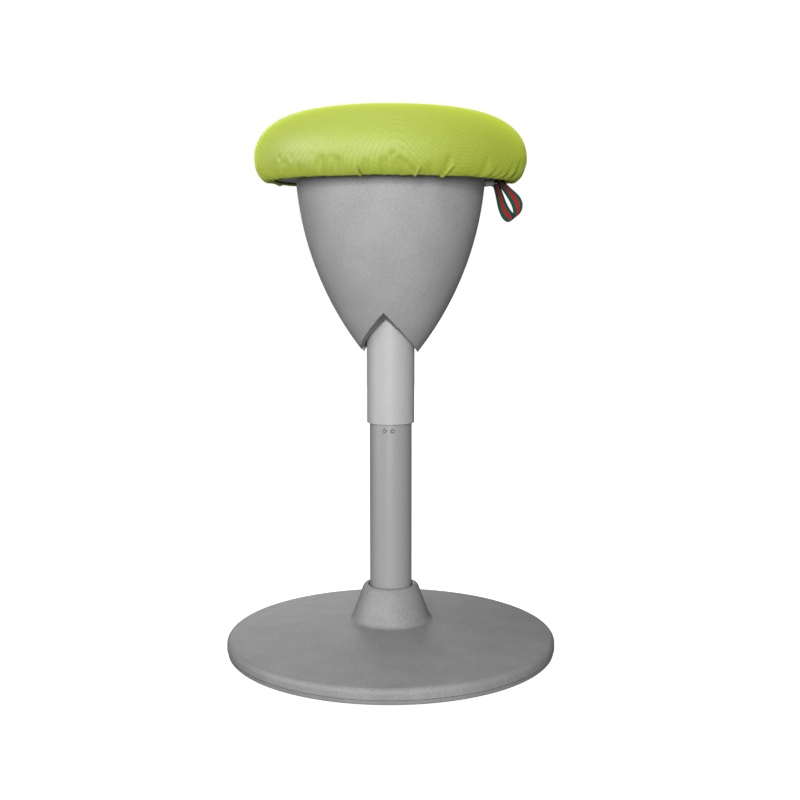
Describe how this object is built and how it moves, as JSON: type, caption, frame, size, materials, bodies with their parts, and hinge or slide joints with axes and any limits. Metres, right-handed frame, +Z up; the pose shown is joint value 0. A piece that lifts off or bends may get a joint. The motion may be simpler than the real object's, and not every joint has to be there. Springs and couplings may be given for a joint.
{
  "type": "wobble stool",
  "caption": "Sit-stand wobble stool: round fabric cushion on a bell housing, sliding swivelling gas column, weighted domed base on a convex tread, webbing release strap.",
  "frame": {"origin": "on the floor, on the axis of the column, at the middle of the tread's flat contact circle", "axes": "+Z up along the column, -Y the front, +X the side of the pull strap"},
  "size_m": [0.393, 0.393, 0.6471],
  "materials": {
    "base_plastic": "grey moulded polypropylene, fine spark-eroded grain",
    "tread_rubber": "black moulded rubber, matt",
    "black_steel": "black electro-coated steel, satin",
    "zinc_steel": "bright zinc-plated steel",
    "column_paint": "grey powder coat, fine texture",
    "sleeve_plastic": "light grey moulded plastic, satin",
    "bush_nylon": "natural nylon, satin",
    "bearing_steel": "hardened and ground steel",
    "seal_rubber": "black nitrile rubber",
    "rod_chrome": "hard-chromed ground rod",
    "cylinder_black": "black lacquered steel tube",
    "bell_plastic": "grey moulded polypropylene, fine grain",
    "seat_shell_plastic": "charcoal moulded polypropylene",
    "board_plywood": "birch plywood, unfinished",
    "foam": "cut polyurethane foam, open cell",
    "cover_knit": "lime-green stretch knit with fine ribs",
    "hem_cord": "covered elastic cord",
    "tip_plastic": "light grey moulded plastic",
    "strap_webbing": "woven webbing, green edges and a red middle stripe"
  },
  "bodies": {
    "base": {"rubber_tread": "tread_rubber", "base_pan": "base_plastic", "base_shell": "base_plastic", "ballast_plate": "black_steel", "tube_flange": "black_steel", "flange_screws": "zinc_steel", "base_screws": "zinc_steel", "stand_tube": "column_paint", "guide_bush": "bush_nylon", "lower_race": "bearing_steel"},
    "rod": {"piston_rod": "rod_chrome", "upper_race": "bearing_steel", "bearing_balls": "bearing_steel", "ball_cage": "bush_nylon", "rubber_buffer": "seal_rubber", "rod_clip": "zinc_steel", "piston": "zinc_steel", "piston_seal": "seal_rubber", "piston_nut": "zinc_steel"},
    "seat": {"gas_cylinder": "cylinder_black", "rod_guide": "bush_nylon", "telescopic_sleeve": "sleeve_plastic", "taper_socket": "black_steel", "mechanism_plate": "black_steel", "lever_pin": "zinc_steel", "plate_screws": "zinc_steel", "tee_nuts": "zinc_steel", "bell_housing": "bell_plastic", "bell_screws": "zinc_steel", "seat_shell": "seat_shell_plastic", "seat_board": "board_plywood", "seat_foam": "foam", "seat_cover": "cover_knit", "hem_elastic": "hem_cord"},
    "lever": {"release_lever": "zinc_steel", "lever_tip": "tip_plastic", "strap_pin": "zinc_steel", "pull_strap": "strap_webbing"},
    "valve": {"valve_pin": "zinc_steel"}
  },
  "joints": [
    {"name": "seat_swivel", "type": "hinge", "parent": "base", "child": "rod", "pos_m": [0, 0, 0.034], "axis": [0, 0, 1], "continuous": true},
    {"name": "height_slide", "type": "slide", "parent": "rod", "child": "seat", "axis": [0, 0, 1], "range_m": [-0.18, 0]},
    {"name": "release_lever_pivot", "type": "hinge", "parent": "seat", "child": "lever", "pos_m": [-0.035, 0, 0.558], "axis": [0, 1, 0], "range_deg": [0, 2.8], "stiffness_Nm_per_rad": 20, "springref_deg": -2.86},
    {"name": "valve_press", "type": "slide", "parent": "seat", "child": "valve", "axis": [0, 0, -1], "range_m": [0, 0.0025]}
  ],
  "couplings": [
    {"joint": "valve_press", "follows": "release_lever_pivot", "m_per_rad": 0.0366}
  ]
}
